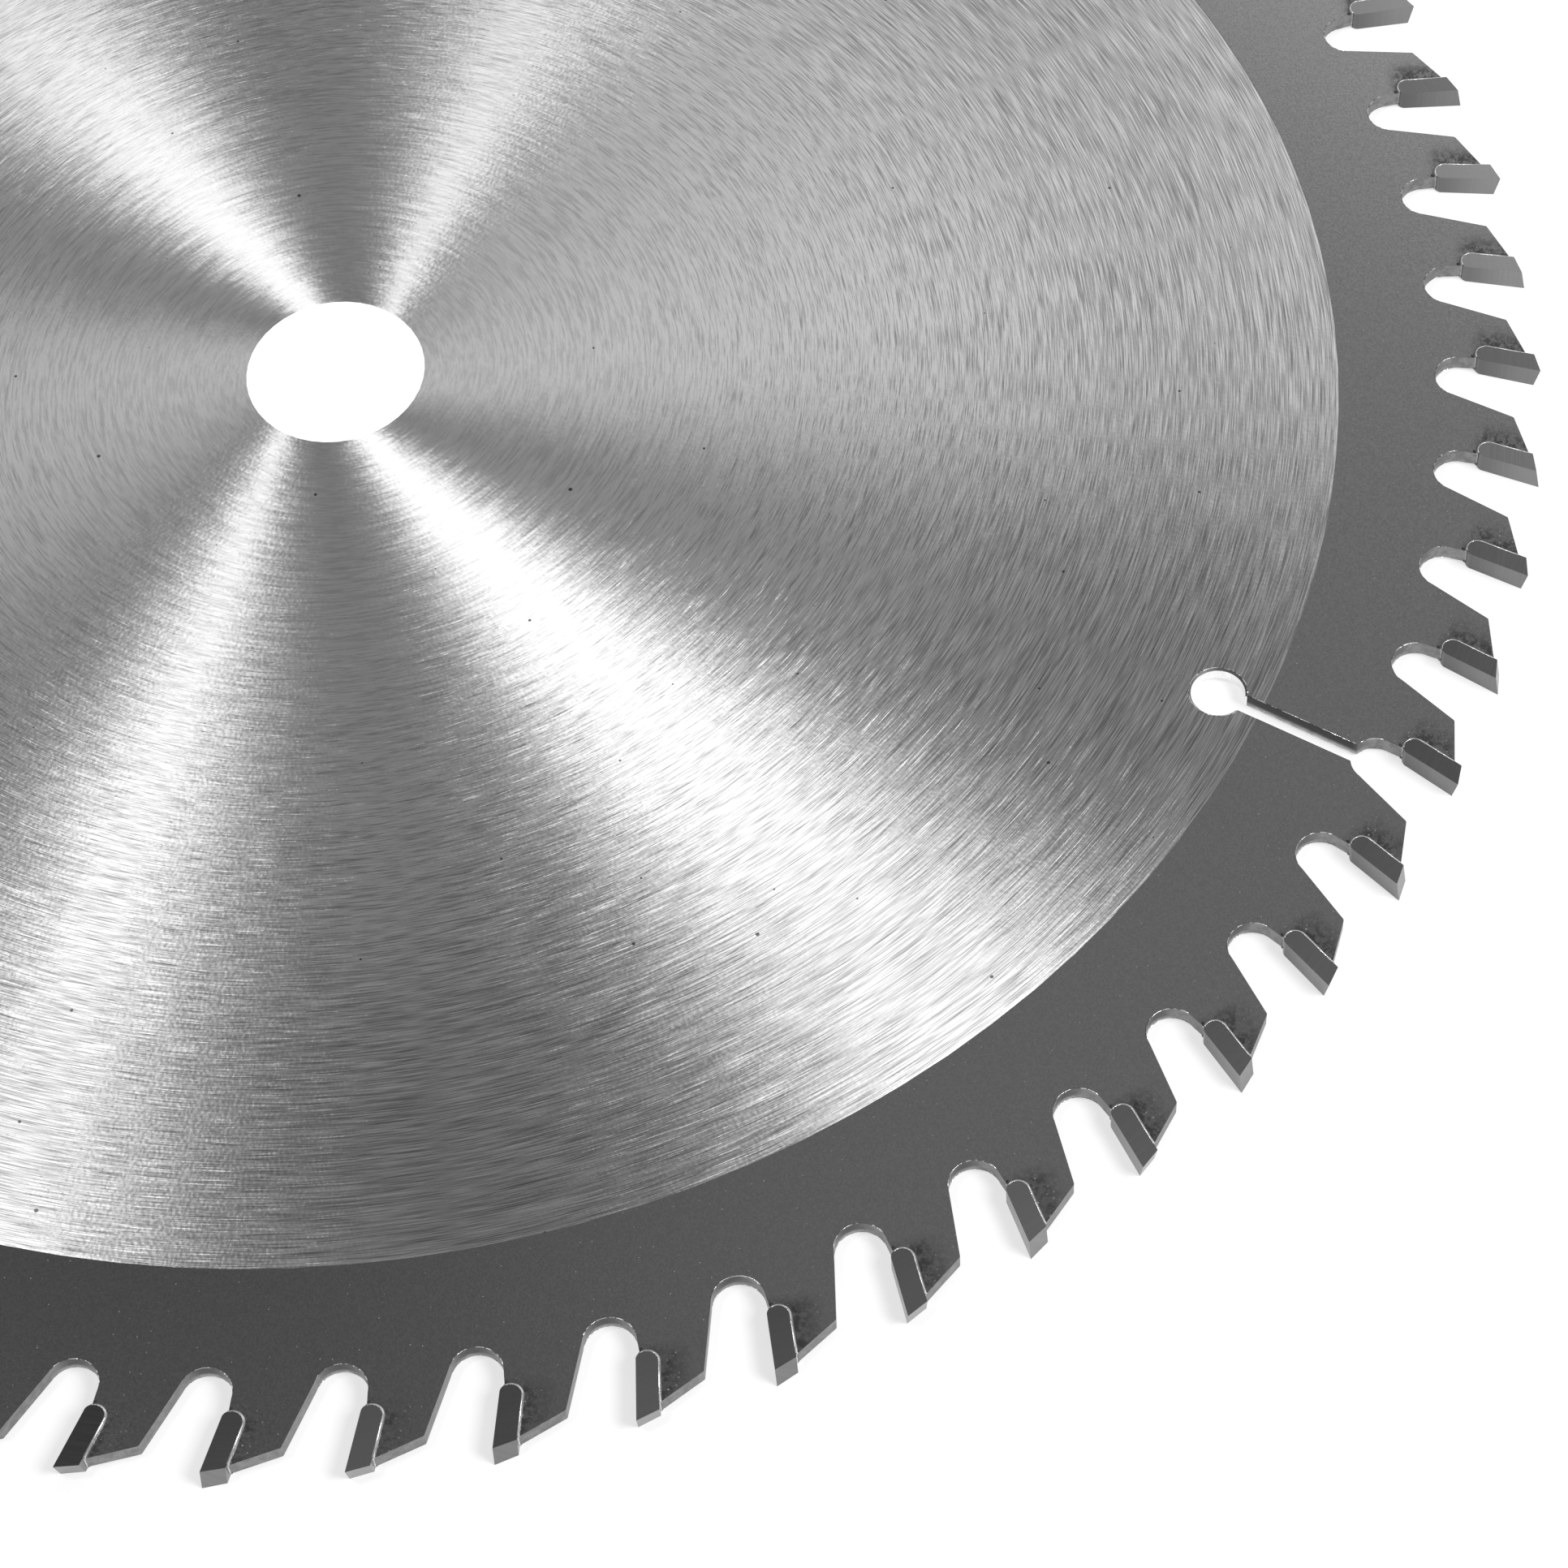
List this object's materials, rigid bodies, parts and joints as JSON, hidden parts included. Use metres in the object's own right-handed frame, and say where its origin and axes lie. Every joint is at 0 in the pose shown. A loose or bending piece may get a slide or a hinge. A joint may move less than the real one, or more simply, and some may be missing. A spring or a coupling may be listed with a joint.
{
  "type": "circular saw blade",
  "caption": "Flat round steel saw blade with a plain bore, keyhole expansion slots and alternately bevelled carbide tips brazed into hooked teeth.",
  "frame": {"origin": "centre of the bore, on the plate's middle plane", "axes": "+Z along the bore; seen from +Z the blade cuts clockwise; one cutting point lies on +X"},
  "size_m": [0.4, 0.4, 0.004],
  "materials": {
    "plate_steel": "ground with circular lines in the middle, darker satin grey on the rim, with small scratches, specks and heat stains behind the tips",
    "carbide": "ground dark grey carbide with fine grinding lines",
    "braze": "bright silver braze"
  },
  "bodies": {
    "root": {"blade_body": "plate_steel", "tip_pair_01": "carbide", "tip_pair_02": "carbide", "tip_pair_03": "carbide", "tip_pair_04": "carbide", "tip_pair_05": "carbide", "tip_pair_06": "carbide", "tip_pair_07": "carbide", "tip_pair_08": "carbide", "tip_pair_09": "carbide", "tip_pair_10": "carbide", "tip_pair_11": "carbide", "tip_pair_12": "carbide", "tip_pair_13": "carbide", "tip_pair_14": "carbide", "tip_pair_15": "carbide", "tip_pair_16": "carbide", "tip_pair_17": "carbide", "tip_pair_18": "carbide", "tip_pair_19": "carbide", "tip_pair_20": "carbide", "tip_pair_21": "carbide", "tip_pair_22": "carbide", "tip_pair_23": "carbide", "tip_pair_24": "carbide", "tip_pair_25": "carbide", "tip_pair_26": "carbide", "tip_pair_27": "carbide", "tip_pair_28": "carbide", "tip_pair_29": "carbide", "tip_pair_30": "carbide", "braze_sector_1": "braze", "braze_sector_2": "braze", "braze_sector_3": "braze", "braze_sector_4": "braze"}
  },
  "joints": []
}
